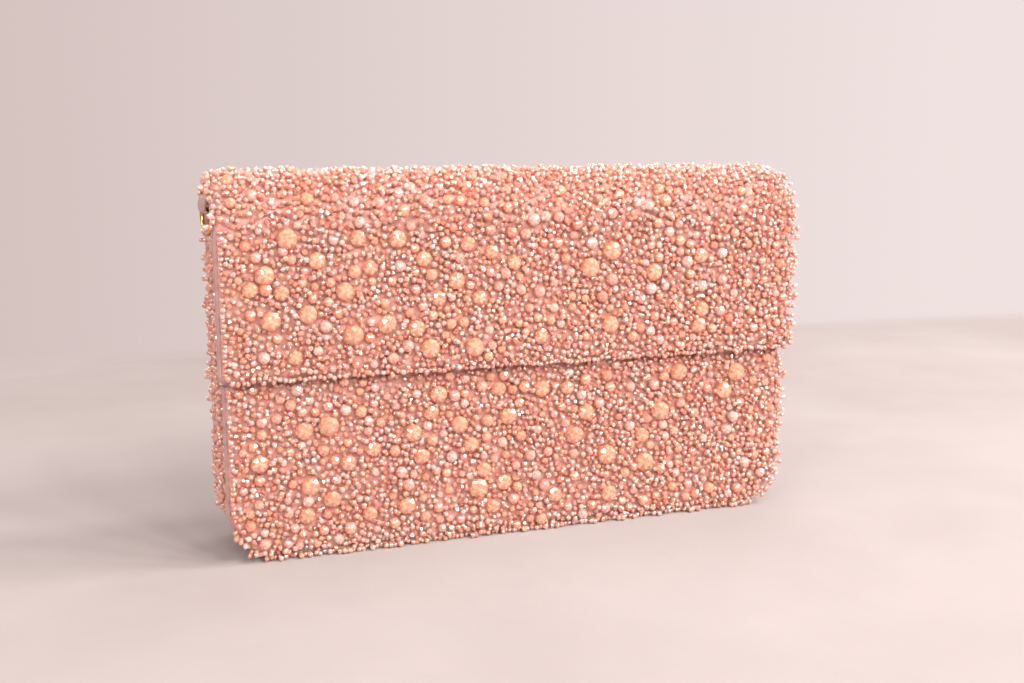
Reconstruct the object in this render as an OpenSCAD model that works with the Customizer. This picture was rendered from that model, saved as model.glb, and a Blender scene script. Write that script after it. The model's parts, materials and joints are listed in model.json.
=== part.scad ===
// Evening bag: a box-shaped beaded clutch with a full flap that wraps over its top and closes on hidden magnets.
// Millimetres. X is the width, the front faces -Y, and +Z is up. The origin is the centre of the underside.

/* [Overall size] */
// Width across the flap
bag_w = 243; // [200:1:280]
// Height from the table to the top of the beads
bag_h = 148; // [130:1:180]
// Depth over the beads, front to back
bag_d = 44; // [42:1:60]
// How much narrower than the flap each side of the body is
body_inset = 1.3; // [0.8:0.1:3]
// Height of the flap's lower edge above the table
flap_edge_h = 70; // [40:1:95]

/* [Rounding] */
// Radius of the ground fabric where it folds over the top, front and back
fold_r = 17; // [15:0.5:18]
// Radius of the body's two lower corners
corner_r = 22; // [14:1:30]
// Radius of the flap's two upper corners
flap_corner_r = 8; // [4:0.5:12]

/* [Layers] */
// Thickness of the beadwork on the front, back and flap
bead_t = 3; // [2:0.1:3.5]
// Thickness of the beadwork on the sides and base
side_bead_t = 2.4; // [1.8:0.1:2.4]
// Thickness of the satin that carries the beads
satin_t = 0.6; // [0.4:0.1:0.8]
// Thickness of the panel boards and of the padding in the folds
board_t = 2; // [1.5:0.1:2.2]
// Thickness of the thinner board in the sides
side_board_t = 1.2; // [0.8:0.1:1.5]
// Thickness of the lining
lining_t = 0.5; // [0.4:0.1:0.7]
// Bare satin margin around the beadwork
bead_margin = 1.6; // [1:0.1:3]

/* [Fit] */
// Clearance between the closed flap and the body
flap_gap = 0.6; // [0.4:0.1:1]
// Half of the gap where the flap's sections meet, as an angle of the fold
split_angle = 1; // [0.8:0.1:2]

/* [Strap rings] */
// Thickness of the ring's wire
ring_wire = 1.8; // [1.4:0.1:2.2]
// Inner width of the ring
ring_inner_w = 11; // [10:0.5:13]
// Straight length of the ring's two arms
ring_arm = 2.4; // [2:0.1:5]
// Height of the ring's top bar above the table
ring_h = 134.6; // [131:0.1:136]
// Turn of the ring and its tab, seen from above, with the back end outwards
ring_turn = 10; // [0:1:12]
// Width of the satin tab that holds the ring
tab_w = 9.4; // [7:0.1:10]
// Radius of the tab where it folds around the ring
tab_r = 2.5; // [2.2:0.1:2.8]

/* [Magnets] */
// Diameter of the closure's disc magnets
magnet_d = 12; // [8:1:16]
// Distance between the two magnets of a panel
magnet_gap = 120; // [60:5:160]
// How far above the flap's edge the magnets sit
magnet_up = 12; // [10:1:20]

/* [Slip pocket] */
// Width of the pocket inside, on the back wall
pocket_w = 130; // [80:5:180]
// Height of the pocket
pocket_h = 70; // [40:5:90]

/* [Hidden] */
$fn = 96;

far = 400;                                      // larger than anything here, for cutting tools
extra = 1;                                      // how far a cutting tool or a joined piece reaches past a face
flap_half = bag_w / 2;
body_half = flap_half - body_inset;

// The top of the bag is a flat strip between two folds. Each layer's distance from the fold's centre is its radius,
// and below the fold the same layer runs straight down.
flat_half = bag_d / 2 - bead_t - fold_r;
fold_z = bag_h - bead_t - fold_r;
r_bead = fold_r + bead_t;
r_board = fold_r - satin_t;
r_lining = r_board - board_t;
r_inner = r_lining - lining_t;

// The front panel hangs inside the flap, in layers of its own.
r_front = r_inner - flap_gap;
r_front_board = r_front - satin_t;
r_front_lining = r_front_board - board_t;
r_front_inner = r_front_lining - lining_t;
mouth_rise = 1.5;
front_top = fold_z + mouth_rise;
front_bead_top = flap_edge_h - flap_gap;

// The sides and the base are one strip in layers, each given as its inset from the body's outline.
in_cover = side_bead_t;
in_board = in_cover + satin_t;
in_lining = in_board + side_board_t;
in_inner = in_lining + lining_t;
side_beads_top = 123.5;

// Strap rings
ring_out = 0.8;
ring_x = body_half + ring_out;                  // the ring's top bar, from the middle of the bag
ring_half = (ring_inner_w + ring_wire) / 2;
tab_top = 140.3;
bore_clear = 0.25;

magnet_z = flap_edge_h + magnet_up;
magnet_clear = 0.1;
pocket_z = 30;
pocket_gap = 0.6;
pocket_seam = 3;

// ---- shapes that repeat ----

// Extrudes a side profile, drawn as [y, z], across the width.
module across(half_w) {
    rotate([90, 0, 90])
        translate([0, 0, -half_w])
            linear_extrude(2 * half_w)
                children();
}

// Extrudes a front outline, drawn as [x, z], from the depth y0 back to y1.
module deep(y0, y1) {
    translate([0, y1, 0])
        rotate([90, 0, 0])
            linear_extrude(y1 - y0)
                children();
}

// The body's outline, seen from the front, at an inset from its edge.
module body_outline(inset, top, bottom_extra = 0) {
    half = body_half - inset;
    bottom = inset + bottom_extra;
    r = corner_r - bottom;
    translate([-half, bottom + r])
        square([2 * half, top - bottom - r]);
    translate([-half + r, bottom])
        square([2 * (half - r), r + extra]);
    for (side = [-1, 1])
        translate([side * (half - r), bottom + r])
            circle(r);
}

// The flap's outline, seen from the front, at an inset from its sides and lower edge.
module flap_outline(inset) {
    half = flap_half - inset;
    r = flap_corner_r;
    top = bag_h;
    translate([-half, flap_edge_h + inset])
        square([2 * half, top - flap_edge_h - inset - r]);
    translate([-half + r, top - r - extra])
        square([2 * (half - r), r + extra]);
    for (side = [-1, 1])
        translate([side * (half - r), top - r])
            circle(r);
}

// One layer of the rear fold, from angle a0 to a1, where 0 is level with the fold's centre and 90 is its top.
module fold_sector(r_out, r_in, a0, a1) {
    middle = (a0 + a1) / 2;
    translate([flat_half, fold_z])
        intersection() {
            difference() {
                circle(r_out);
                circle(r_in);
            }
            polygon([
                [0, 0],
                for (a = [a0, middle, a1]) [far * cos(a), far * sin(a)]
            ]);
        }
}

// A layer of the body's back: straight up, then half of the rear fold.
module back_profile(r_out, r_in, bottom) {
    translate([flat_half + r_in, bottom])
        square([r_out - r_in, fold_z - bottom]);
    fold_sector(r_out, r_in, 0, 45 - split_angle);
}

// A layer of the flap's top: half of each fold, with the flat strip between them.
module flap_top_profile(r_out, r_in) {
    translate([-flat_half, fold_z + r_in])
        square([2 * flat_half, r_out - r_in]);
    fold_sector(r_out, r_in, 45 + split_angle, 90);
    mirror([1, 0])
        fold_sector(r_out, r_in, 45 + split_angle, 90);
}

// A layer of the flap's front: half of the front fold, then straight down.
module flap_front_profile(r_out, r_in) {
    translate([-flat_half - r_out, flap_edge_h - extra])
        square([r_out - r_in, fold_z - flap_edge_h + extra]);
    mirror([1, 0])
        fold_sector(r_out, r_in, 0, 45 - split_angle);
}

// The space between the front and back boards, with an arched top that clears the closed flap.
module inside_profile() {
    translate([-flat_half - r_front_lining, -extra])
        square([2 * flat_half + r_front_lining + r_lining, fold_z + extra]);
    intersection() {
        union() {
            translate([-flat_half, fold_z])
                square([2 * flat_half, r_front]);
            for (side = [-1, 1])
                translate([side * flat_half, fold_z])
                    circle(r_front);
        }
        translate([-flat_half - r_front_lining, fold_z - extra])
            square([2 * flat_half + r_front_lining + r_lining, far]);
    }
}

// One layer of the strip that makes the sides and the base.
module side_strip(outer, inner, top) {
    intersection() {
        across(body_half + extra)
            inside_profile();
        deep(-far, far)
            difference() {
                body_outline(outer, top);
                body_outline(inner, far);
            }
    }
}

// A flap layer trimmed to the flap's outline.
module trimmed(inset) {
    intersection() {
        across(flap_half)
            children();
        deep(-far, far)
            flap_outline(inset);
    }
}

// The satin that binds the flap's outer edge.
module flap_edging() {
    intersection() {
        across(flap_half)
            children();
        deep(-far, far)
            difference() {
                flap_outline(0);
                flap_outline(satin_t);
            }
    }
}

// Two discs or two bores for them, from the depth y0 back to y1.
module magnet_pair(d, y0, y1) {
    for (side = [-1, 1])
        translate([side * magnet_gap / 2, y1, magnet_z])
            rotate([90, 0, 0])
                cylinder(d = d, h = y1 - y0);
}

// Places a left-hand strap fitting with its axis along Y, at the ring's bar.
module at_ring() {
    translate([-ring_x, 0, ring_h])
        rotate([0, 0, ring_turn])
            children();
}

// ---- body ----

module front_board() {
    color("tan")
        difference() {
            deep(-flat_half - r_front_board, -flat_half - r_front_lining)
                body_outline(satin_t, front_top);
            magnet_pair(
                magnet_d + 2 * magnet_clear,
                -flat_half - r_front_board - extra,
                -flat_half - r_front_lining + extra
            );
        }
}

module back_board() {
    color("tan")
        deep(flat_half + r_lining, flat_half + r_board)
            body_outline(satin_t, fold_z);
}

module side_board() {
    color("burlywood")
        side_strip(in_board, in_lining, far);
}

module base_board() {
    color("tan")
        translate([-(body_half - corner_r), -flat_half - r_front_lining, in_lining])
            cube([2 * (body_half - corner_r), 2 * flat_half + r_front_lining + r_lining, board_t]);
}

module back_fold_pad() {
    color("whitesmoke")
        across(body_half - satin_t)
            fold_sector(r_board, r_lining, 0, 45 - split_angle);
}

module front_cover() {
    color("lightpink")
        deep(-flat_half - r_front, -flat_half - r_front_board)
            body_outline(satin_t, front_top);
}

module back_cover() {
    color("lightpink")
        intersection() {
            across(body_half - satin_t)
                back_profile(fold_r, r_board, 0);
            deep(-far, far)
                body_outline(satin_t, far);
        }
}

module side_cover() {
    color("rosybrown")
        side_strip(in_cover, in_board, far);
}

module front_edge() {
    color("pink")
        deep(-flat_half - r_front, -flat_half - r_front_lining)
            difference() {
                body_outline(0, front_top);
                body_outline(satin_t, far);
            }
}

module back_edge() {
    color("pink")
        deep(flat_half + r_lining, flat_half + fold_r)
            difference() {
                body_outline(0, fold_z);
                body_outline(satin_t, far);
            }
}

module mouth_binding() {
    color("pink")
        translate([-body_half, -flat_half - r_front, front_top])
            cube([2 * body_half, r_front - r_front_lining, satin_t]);
}

module front_beadwork() {
    color("salmon")
        deep(-flat_half - r_front - bead_t, -flat_half - r_front)
            body_outline(bead_margin, front_bead_top);
}

module back_beadwork() {
    color("salmon")
        intersection() {
            across(body_half - bead_margin)
                back_profile(r_bead, fold_r, 0);
            deep(-far, far)
                body_outline(bead_margin, far);
        }
}

module side_beadwork() {
    color("indianred")
        side_strip(0, in_cover, side_beads_top);
}

module lining() {
    color("mistyrose")
        difference() {
            intersection() {
                across(body_half)
                    inside_profile();
                deep(-far, far)
                    body_outline(in_lining, far, board_t);
            }
            deep(-flat_half - r_front_inner, flat_half + r_inner)
                body_outline(in_inner, far, board_t);
            translate([-(body_half - in_inner), -far, front_top])
                cube([2 * (body_half - in_inner), 2 * far, far]);
        }
}

module back_fold_lining() {
    color("mistyrose")
        across(body_half - in_inner)
            fold_sector(r_lining, r_inner, 0, 45 - split_angle);
}

module slip_pocket() {
    color("mistyrose")
        difference() {
            translate([-pocket_w / 2, flat_half + r_inner - pocket_gap - lining_t, pocket_z])
                cube([pocket_w, pocket_gap + lining_t, pocket_h]);
            translate([-pocket_w / 2 + pocket_seam, flat_half + r_inner - pocket_gap, pocket_z + pocket_seam])
                cube([pocket_w - 2 * pocket_seam, pocket_gap + extra, pocket_h]);
        }
}

module body_magnets() {
    color("silver")
        magnet_pair(magnet_d, -flat_half - r_front_board, -flat_half - r_front_lining);
}

module left_tab() {
    reach = ring_x - (body_half - in_cover);    // from the side panel out to the ring's bar
    difference() {
        at_ring()
            rotate([90, 0, 0])
                difference() {
                    translate([0, 0, -tab_w / 2])
                        linear_extrude(tab_w) {
                            circle(tab_r);
                            translate([-tab_r, 0])
                                square([2 * tab_r + reach, tab_top - ring_h - tab_r / 2]);
                            translate([-tab_r / 2, 0])
                                square([2 * tab_r + reach, tab_top - ring_h]);
                            translate([-tab_r / 2, tab_top - ring_h - tab_r / 2])
                                circle(tab_r / 2);
                        }
                    translate([0, 0, -tab_w])
                        cylinder(r = ring_wire / 2 + bore_clear, h = 2 * tab_w);
                }
        translate([-(body_half - in_cover), -far / 2, 0])
            cube([far, far, far]);
    }
}

module left_ring() {
    at_ring() {
        rotate([90, 0, 0])
            cylinder(d = ring_wire, h = 2 * ring_half, center = true);
        for (side = [-1, 1])
            translate([0, side * ring_half, 0]) {
                sphere(d = ring_wire);
                translate([0, 0, -ring_arm])
                    cylinder(d = ring_wire, h = ring_arm);
            }
        translate([0, 0, -ring_arm])
            rotate([0, 90, 0])
                intersection() {
                    rotate_extrude()
                        translate([ring_half, 0])
                            circle(d = ring_wire);
                    translate([0, -far / 2, -far / 2])
                        cube([far, far, far]);
                }
    }
}

module ring_tab_left() {
    color("thistle")
        left_tab();
}

module ring_tab_right() {
    color("thistle")
        mirror([1, 0, 0])
            left_tab();
}

module ring_left() {
    color("gold")
        left_ring();
}

module ring_right() {
    color("gold")
        mirror([1, 0, 0])
            left_ring();
}

// ---- flap ----

module flap_top_pad() {
    color("whitesmoke")
        trimmed(satin_t)
            flap_top_profile(r_board, r_lining);
}

module flap_top_cover() {
    color("lightpink")
        trimmed(satin_t)
            flap_top_profile(fold_r, r_board);
}

module flap_top_lining() {
    color("mistyrose")
        trimmed(satin_t)
            flap_top_profile(r_lining, r_inner);
}

module flap_top_edges() {
    color("pink")
        flap_edging()
            flap_top_profile(fold_r, r_inner);
}

module flap_top_beadwork() {
    color("salmon")
        trimmed(bead_margin)
            flap_top_profile(r_bead, fold_r);
}

module flap_front_board() {
    color("tan")
        difference() {
            intersection() {
                deep(-flat_half - r_board, -flat_half - r_lining)
                    flap_outline(satin_t);
                translate([-far / 2, -far / 2, 0])
                    cube([far, far, fold_z]);
            }
            magnet_pair(
                magnet_d + 2 * magnet_clear,
                -flat_half - r_board - extra,
                -flat_half - r_lining + extra
            );
        }
}

module flap_front_fold_pad() {
    color("whitesmoke")
        trimmed(satin_t)
            mirror([1, 0])
                fold_sector(r_board, r_lining, 0, 45 - split_angle);
}

module flap_front_cover() {
    color("lightpink")
        trimmed(satin_t)
            flap_front_profile(fold_r, r_board);
}

module flap_front_lining() {
    color("mistyrose")
        trimmed(satin_t)
            flap_front_profile(r_lining, r_inner);
}

module flap_front_edge() {
    color("pink")
        flap_edging()
            flap_front_profile(fold_r, r_inner);
}

module flap_front_beadwork() {
    color("salmon")
        trimmed(bead_margin)
            flap_front_profile(r_bead, fold_r);
}

module flap_magnets() {
    color("silver")
        magnet_pair(magnet_d, -flat_half - r_board, -flat_half - r_lining);
}

front_board();
back_board();
side_board();
base_board();
back_fold_pad();
front_cover();
back_cover();
side_cover();
front_edge();
back_edge();
mouth_binding();
front_beadwork();
back_beadwork();
side_beadwork();
lining();
back_fold_lining();
slip_pocket();
body_magnets();
ring_tab_left();
ring_tab_right();
ring_left();
ring_right();
flap_top_pad();
flap_top_cover();
flap_top_lining();
flap_top_edges();
flap_top_beadwork();
flap_front_board();
flap_front_fold_pad();
flap_front_cover();
flap_front_lining();
flap_front_edge();
flap_front_beadwork();
flap_magnets();
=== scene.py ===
"""Evening bag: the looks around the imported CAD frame.

The bag is satin over board and felt, with a carpet of glass beads and crystals sewn to it. The flap, its
fold over the top and the back are one shell, laid out along a strip. A place on the strip is given by x
across the bag, s along the cover from the flap's lower edge over the top and down the back, and h above the
cover's face. Lengths are in metres.
"""

import json
import math

import bpy
import numpy as np
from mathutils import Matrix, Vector


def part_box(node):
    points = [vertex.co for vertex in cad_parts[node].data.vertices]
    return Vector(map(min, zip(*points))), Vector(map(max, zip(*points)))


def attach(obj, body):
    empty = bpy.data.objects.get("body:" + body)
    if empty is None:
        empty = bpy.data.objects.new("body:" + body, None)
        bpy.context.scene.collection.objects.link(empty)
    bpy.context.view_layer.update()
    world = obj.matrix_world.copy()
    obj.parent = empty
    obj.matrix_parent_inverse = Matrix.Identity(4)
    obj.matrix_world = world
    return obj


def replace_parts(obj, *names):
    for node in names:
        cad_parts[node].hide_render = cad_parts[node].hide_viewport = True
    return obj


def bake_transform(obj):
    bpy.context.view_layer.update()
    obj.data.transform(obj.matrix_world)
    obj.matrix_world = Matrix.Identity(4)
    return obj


MM = 0.001
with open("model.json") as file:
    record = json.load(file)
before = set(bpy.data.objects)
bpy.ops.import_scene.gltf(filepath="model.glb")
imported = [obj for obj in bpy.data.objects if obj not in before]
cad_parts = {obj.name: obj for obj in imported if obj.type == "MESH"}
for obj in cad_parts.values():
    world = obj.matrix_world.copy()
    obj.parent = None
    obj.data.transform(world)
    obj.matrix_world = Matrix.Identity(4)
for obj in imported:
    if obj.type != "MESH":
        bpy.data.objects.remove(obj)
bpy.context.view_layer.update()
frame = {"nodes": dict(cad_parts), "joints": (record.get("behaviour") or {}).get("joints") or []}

# ---- measures of the frame ----

FLAP_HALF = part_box("flap_front_edge")[1].x
BODY_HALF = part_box("front_edge")[1].x
COVER_FRONT = -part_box("flap_front_cover")[0].y
COVER_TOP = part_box("flap_top_cover")[1].z
FLAP_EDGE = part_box("flap_front_edge")[0].z
FOLD_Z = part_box("flap_front_board")[1].z
FOLD_R = COVER_TOP - FOLD_Z
FLAT_HALF = COVER_FRONT - FOLD_R
PANEL_FRONT = -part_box("front_cover")[0].y
PANEL_BACK = -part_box("front_edge")[1].y
PANEL_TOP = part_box("mouth_binding")[1].z
FRONT_BEAD_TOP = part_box("front_beadwork")[1].z
SIDE_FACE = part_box("side_cover")[1].x
SIDE_Y = (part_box("side_cover")[0].y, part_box("side_cover")[1].y)
SIDE_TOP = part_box("side_cover")[1].z
SIDE_BEAD_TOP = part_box("side_beadwork")[1].z
LINING_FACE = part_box("lining")[1].x
LINING_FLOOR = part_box("lining")[0].z
SIDE_INSET = BODY_HALF - SIDE_FACE
SIDE_ARCH_R = SIDE_TOP - FOLD_Z
SATIN_T = 0.6 * MM
LINING_T = 0.5 * MM
BOARD_T = 2.0 * MM
SHELL_T = SATIN_T + BOARD_T + LINING_T
CORNER_R = BODY_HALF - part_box("base_board")[1].x

# Distances along the strip
S_FOLD = FOLD_Z - FLAP_EDGE
S_TOP = S_FOLD + FOLD_R * math.pi / 2
S_MIDDLE = S_TOP + FLAT_HALF
S_REAR = S_TOP + 2 * FLAT_HALF
S_BACK = S_REAR + FOLD_R * math.pi / 2
S_END = S_BACK + FOLD_Z


# ---- places on the strip, the front panel and the sides ----


def smooth(t):
    t = np.clip(t, 0, 1)
    return t * t * (3 - 2 * t)


def straight_half(s):
    """Half of the shell's width, which narrows from the flap's to the body's round the rear fold."""
    return FLAP_HALF - (FLAP_HALF - BODY_HALF) * smooth((np.asarray(s, float) - S_REAR) / (S_BACK - S_REAR))


def shell_half(s):
    """The same, rounded off at the body's lower corners."""
    return straight_half(s) - corner_loss(np.clip(S_END - np.asarray(s, float), 0, CORNER_R))


def corner_loss(z):
    """How much a lower corner takes off the body's half width at the height z."""
    drop = np.clip(CORNER_R - z, 0, CORNER_R)
    return CORNER_R - np.sqrt(CORNER_R**2 - drop**2)


SHOULDER_R = 9 * MM
SHOULDER_DROP = 1.5 * MM


def on_shell(x, s, h):
    """Places and outward normals on the shell. The top's cover sinks a little towards its ends."""
    x, s, h = np.broadcast_arrays(np.asarray(x, float), np.asarray(s, float), np.asarray(h, float))
    turn = np.clip((s - S_FOLD) / FOLD_R, 0, math.pi / 2) + np.clip((s - S_REAR) / FOLD_R, 0, math.pi / 2)
    ny, nz = -np.cos(turn), np.sin(turn)
    near_end = np.clip((np.abs(x) - FLAP_HALF + SHOULDER_R) / SHOULDER_R, 0, 1)
    sink = SHOULDER_DROP * near_end**2 * nz**2 * np.clip(1 + h / SHELL_T, 0, 1)
    reach = FOLD_R + h - sink
    y = -FLAT_HALF + np.clip(s - S_TOP, 0, 2 * FLAT_HALF) + reach * ny
    z = FOLD_Z - np.clip(S_FOLD - s, 0, None) - np.clip(s - S_BACK, 0, None) + reach * nz
    return np.stack([x, y, z], -1), np.stack([0 * x, ny, nz], -1)


def on_panel(x, z, h):
    """Places and outward normals on the front panel, below the flap."""
    x, z, h = np.broadcast_arrays(np.asarray(x, float), np.asarray(z, float), np.asarray(h, float))
    return np.stack([x, -PANEL_FRONT - h, z], -1), np.stack([0 * x, 0 * x - 1, 0 * x], -1)


def around_length(inset):
    """Length of the strip down one side, under the base and up the other, at an inset from the outline."""
    r = CORNER_R - inset
    return 2 * (SIDE_BEAD_TOP - CORNER_R) + math.pi * r + 2 * (BODY_HALF - CORNER_R)


def around(t, y, h, inset, top=None):
    """Places and outward normals on the strip round the sides and base. t runs from the top of the left side
    to the top of the right, and top is the height where it starts."""
    t, y, h = np.broadcast_arrays(np.asarray(t, float), np.asarray(y, float), np.asarray(h, float))
    top = SIDE_BEAD_TOP if top is None else top
    r = CORNER_R - inset
    side, arc, base = top - CORNER_R, r * math.pi / 2, 2 * (BODY_HALF - CORNER_R)
    turn = np.clip((t - side) / r, 0, math.pi / 2) + np.clip((t - side - arc - base) / r, 0, math.pi / 2)
    nx, nz = -np.cos(turn), -np.sin(turn)
    x = -(BODY_HALF - CORNER_R) + np.clip(t - side - arc, 0, base) + (r + h) * nx
    down, up = np.clip(side - t, 0, None), np.clip(t - side - 2 * arc - base, 0, None)
    z = CORNER_R + down + up + (r + h) * nz
    return np.stack([x, y, z], -1), np.stack([nx, 0 * nx, nz], -1)


# ---- node materials ----


class Shader:
    """A Principled material with short calls for its nodes."""

    def __init__(self, name, colour, **inputs):
        self.material = bpy.data.materials.new(name)
        self.material.use_nodes = True
        self.tree = self.material.node_tree
        self.principled = self.tree.nodes["Principled BSDF"]
        self.set(**{"Base Color": (*colour, 1), **inputs})
        self.place = self.tree.nodes.new("ShaderNodeTexCoord").outputs["Object"]

    def set(self, **inputs):
        for name, value in inputs.items():
            self.principled.inputs[name.replace("_", " ")].default_value = value

    def link(self, source, target):
        self.tree.links.new(source, self.principled.inputs[target] if isinstance(target, str) else target)

    def stretched(self, scale):
        node = self.tree.nodes.new("ShaderNodeMapping")
        node.inputs["Scale"].default_value = scale
        self.link(self.place, node.inputs["Vector"])
        return node.outputs["Vector"]

    def noise(self, scale, detail=3.0, roughness=0.5, vector=None):
        node = self.tree.nodes.new("ShaderNodeTexNoise")
        node.inputs["Scale"].default_value = scale
        node.inputs["Detail"].default_value = detail
        node.inputs["Roughness"].default_value = roughness
        self.link(self.place if vector is None else vector, node.inputs["Vector"])
        return node.outputs["Fac"]

    def wave(self, scale, direction, distortion=0.0, vector=None):
        node = self.tree.nodes.new("ShaderNodeTexWave")
        node.bands_direction = direction
        node.inputs["Scale"].default_value = scale
        node.inputs["Distortion"].default_value = distortion
        self.link(self.place if vector is None else vector, node.inputs["Vector"])
        return node.outputs["Fac"]

    def ramp(self, value, stops):
        node = self.tree.nodes.new("ShaderNodeValToRGB")
        ends = node.color_ramp.elements
        while len(ends) < len(stops):
            ends.new(0.5)
        for end, (place, colour) in zip(ends, stops):
            end.position = place
            end.color = (*colour, 1)
        self.link(value, node.inputs["Fac"])
        return node.outputs["Color"]

    def spread(self, value, low, high):
        node = self.tree.nodes.new("ShaderNodeMapRange")
        node.inputs["To Min"].default_value = low
        node.inputs["To Max"].default_value = high
        self.link(value, node.inputs["Value"])
        return node.outputs["Result"]

    def bump(self, heights):
        """Several heights in metres, each with its strength, one over the other."""
        normal = None
        for height, distance, strength in heights:
            node = self.tree.nodes.new("ShaderNodeBump")
            node.inputs["Distance"].default_value = distance
            node.inputs["Strength"].default_value = strength
            self.link(height, node.inputs["Height"])
            if normal is not None:
                self.link(normal, node.inputs["Normal"])
            normal = node.outputs["Normal"]
        self.link(normal, "Normal")


def satin(name, dark, light, roughness=0.42, sheen=0.25):
    """Woven satin: long floats that run one way, a fine weave across them, and soft uneven lustre."""
    m = Shader(name, light, Roughness=roughness, Sheen_Weight=sheen, Sheen_Roughness=0.4)
    m.set(Specular_IOR_Level=0.45, Sheen_Tint=(1.0, 0.9, 0.88, 1))
    floats = m.noise(1.0, 2.0, vector=m.stretched((900, 900, 5200)))
    weave = m.wave(1500, "DIAGONAL", 0.6)
    folds = m.noise(70, 3.0)
    m.link(m.ramp(m.noise(260, 4.0), [(0.3, dark), (0.7, light)]), "Base Color")
    m.link(m.spread(floats, roughness - 0.08, roughness + 0.14), "Roughness")
    m.bump([(folds, 1.5 * MM, 0.35), (floats, 0.12 * MM, 0.5), (weave, 0.05 * MM, 0.35)])
    return m.material


def board_material():
    m = Shader("grey_board", (0.5, 0.4, 0.3), Roughness=0.85)
    fibres = m.noise(1.0, 5.0, 0.6, m.stretched((300, 300, 2400)))
    m.link(m.ramp(fibres, [(0.3, (0.36, 0.28, 0.2)), (0.7, (0.6, 0.5, 0.38))]), "Base Color")
    m.link(m.spread(fibres, 0.75, 0.95), "Roughness")
    m.bump([(fibres, 0.2 * MM, 0.5)])
    return m.material


def felt_material():
    m = Shader("white_felt", (0.86, 0.83, 0.8), Roughness=0.95, Sheen_Weight=0.3)
    fluff = m.noise(1400, 6.0, 0.7)
    m.link(m.ramp(fluff, [(0.25, (0.74, 0.7, 0.66)), (0.7, (0.92, 0.9, 0.87))]), "Base Color")
    m.link(m.spread(fluff, 0.85, 1.0), "Roughness")
    m.bump([(fluff, 0.4 * MM, 0.7)])
    return m.material


def metal(name, dark, light, roughness):
    """Plated metal with fine polishing marks and faint handling wear."""
    m = Shader(name, light, Metallic=1.0, Roughness=roughness)
    marks = m.noise(1.0, 3.0, 0.6, m.stretched((6000, 900, 900)))
    wear = m.noise(600, 4.0)
    m.link(m.ramp(wear, [(0.3, dark), (0.65, light)]), "Base Color")
    m.link(m.spread(marks, roughness * 0.6, roughness * 1.8), "Roughness")
    m.bump([(marks, 0.02 * MM, 0.3)])
    return m.material


def thread_material(name, dark, light):
    m = Shader(name, light, Roughness=0.6, Sheen_Weight=0.3)
    ply = m.wave(2600, "DIAGONAL", 1.0)
    m.link(m.ramp(ply, [(0.2, dark), (0.8, light)]), "Base Color")
    m.link(m.spread(ply, 0.5, 0.7), "Roughness")
    m.bump([(ply, 0.06 * MM, 0.8)])
    return m.material


def glass(name, tint, clear=0.72, rough=0.02):
    """Bead glass with a lustre coat. It is the same all through, and the cut gives a bead its look."""
    m = Shader(name, tint, Roughness=rough, IOR=1.5, Transmission_Weight=clear)
    m.set(Coat_Weight=1.0, Coat_Roughness=0.015, Coat_IOR=2.0)
    return m.material


def foil(name, colour, metallic, rough):
    """The bright lining inside a bead, the foil behind a crystal, or a darker foil that paints shade on some
    of their facets.
    """
    return Shader(name, colour, Metallic=metallic, Roughness=rough).material


SATIN = satin("rose_satin", (0.56, 0.26, 0.21), (0.68, 0.35, 0.29))
# The turned edges' satin is coloured darker than the rose satin, as painted shade of the edges and tabs.
SHADED_EDGE_SATIN = satin("shaded_edge_satin", (0.31, 0.175, 0.16), (0.4, 0.24, 0.225), 0.36, 0.3)
LINING = satin("lining_satin", (0.44, 0.29, 0.26), (0.55, 0.39, 0.35), 0.38, 0.15)
BOARD = board_material()
FELT = felt_material()
GOLD = metal("gold_plating", (0.72, 0.42, 0.12), (0.95, 0.68, 0.3), 0.14)
STEEL = metal("nickel_plating", (0.5, 0.5, 0.52), (0.78, 0.78, 0.8), 0.25)
THREAD = thread_material("rose_thread", (0.55, 0.26, 0.24), (0.75, 0.42, 0.4))
TINTS = [
    glass("rose_glass", (1.0, 0.57, 0.48)),
    glass("coral_glass", (1.0, 0.45, 0.31)),
    glass("peach_glass", (1.0, 0.56, 0.38)),
    glass("pale_glass", (1.0, 0.72, 0.65)),
    glass("deep_rose_glass", (0.95, 0.4, 0.32)),
]
CRYSTAL = glass("champagne_crystal", (1.0, 0.66, 0.47), 0.84, 0.005)
LINING_FOIL = foil("bead_lining", (1.0, 0.8, 0.7), 0.3, 0.25)
CRYSTAL_FOIL = foil("crystal_foil", (1.0, 0.9, 0.8), 0.3, 0.12)
SHADE_FOIL = foil("crystal_foil_painted_shade", (0.95, 0.42, 0.22), 0.4, 0.1)
BEAD_MATERIALS = [*TINTS, CRYSTAL, LINING_FOIL, CRYSTAL_FOIL, SHADE_FOIL]
CRYSTAL_SLOT, LINING_SLOT, FOIL_SLOT, SHADE_FOIL_SLOT = (
    BEAD_MATERIALS.index(m) for m in (CRYSTAL, LINING_FOIL, CRYSTAL_FOIL, SHADE_FOIL)
)
# The cores' facets take turns of bright and dark foil: painted highlight and painted shade, standing for the
# light each facet catches.
FOIL_FACETS = (FOIL_SLOT, SHADE_FOIL_SLOT, FOIL_SLOT, SHADE_FOIL_SLOT, SHADE_FOIL_SLOT)
LINING_FACETS = (LINING_SLOT, LINING_SLOT, SHADE_FOIL_SLOT, LINING_SLOT, FOIL_SLOT)


# ---- mesh helpers ----


def mesh_object(name, points, faces, materials, slots=None, shade_smooth=True):
    mesh = bpy.data.meshes.new(name)
    mesh.from_pydata(np.asarray(points).tolist(), [], [list(f) for f in faces])
    mesh.polygons.foreach_set("use_smooth", [bool(shade_smooth)] * len(mesh.polygons))
    for m in materials if isinstance(materials, list) else [materials]:
        mesh.materials.append(m)
    if slots is not None:
        mesh.polygons.foreach_set("material_index", np.asarray(slots, np.int32))
    mesh.update()
    obj = bpy.data.objects.new(name, mesh)
    bpy.context.scene.collection.objects.link(obj)
    return obj


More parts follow.
